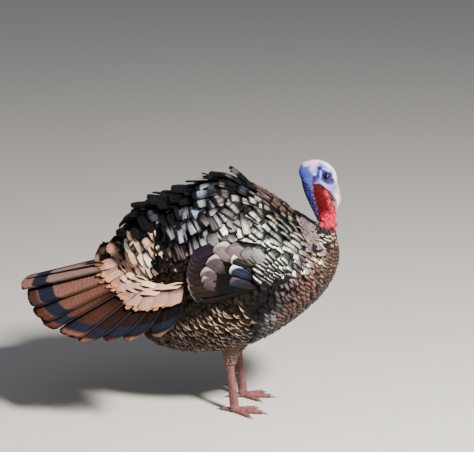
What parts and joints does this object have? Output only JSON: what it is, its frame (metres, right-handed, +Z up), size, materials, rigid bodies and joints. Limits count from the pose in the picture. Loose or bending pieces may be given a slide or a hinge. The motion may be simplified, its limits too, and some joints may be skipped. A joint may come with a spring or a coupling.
{
  "type": "wild turkey",
  "caption": "Life-size model of an adult male wild turkey, standing at ease with a lowered head, raised back feathers and a half-spread drooping tail.",
  "frame": {"origin": "on the floor, under the middle of the whole bird's length and width", "axes": "+X forwards, to the bird's head; +Y to its left side; +Z up"},
  "size_m": [0.7453, 0.5974, 0.5868],
  "materials": {
    "blue_skin": "bare skin, pale blue and finely wrinkled, matte",
    "red_skin": "bare skin, deep red, beaded, satin",
    "pink_skin": "bare skin, pinkish white, matte",
    "horn": "pale horn of the bill, satin",
    "eye": "dark brown, wet and glossy",
    "copper_feather": "short feathers, copper brown with dark edges, glossy",
    "black_feather": "broad feathers, black with a bronze and steel-blue gloss",
    "bronze_feather": "wing feathers, bronze green, glossy",
    "flank_feather": "loose feathers, dark brown with pale buff tips, matte",
    "tail_feather": "tail feathers, finely barred brown with a dark band and a chestnut tip, matte",
    "covert_feather": "tail coverts, barred chestnut with buff tips, matte",
    "shank_scale": "horny scales, dull pinkish red, satin",
    "claw_horn": "dark horn, satin"
  },
  "bodies": {
    "root": {"bill_lower": "horn", "bill_upper": "horn", "caruncles": "red_skin", "claw_hind_left": "claw_horn", "claw_hind_right": "claw_horn", "claw_inner_left": "claw_horn", "claw_inner_right": "claw_horn", "claw_middle_left": "claw_horn", "claw_middle_right": "claw_horn", "claw_outer_left": "claw_horn", "claw_outer_right": "claw_horn", "eye_left": "eye", "eye_right": "eye", "foot_left": "shank_scale", "foot_right": "shank_scale", "head": "blue_skin", "neck_bare": "red_skin", "neck_feathered": "copper_feather", "shank_left": "shank_scale", "shank_right": "shank_scale", "snood": "pink_skin", "spur_left": "claw_horn", "spur_right": "claw_horn", "tail_coverts": "covert_feather", "tail_left": "tail_feather", "tail_middle": "tail_feather", "tail_right": "tail_feather", "thigh_left": "flank_feather", "thigh_right": "flank_feather", "trunk": "black_feather", "wing_left": "bronze_feather", "wing_right": "bronze_feather"}
  },
  "joints": []
}
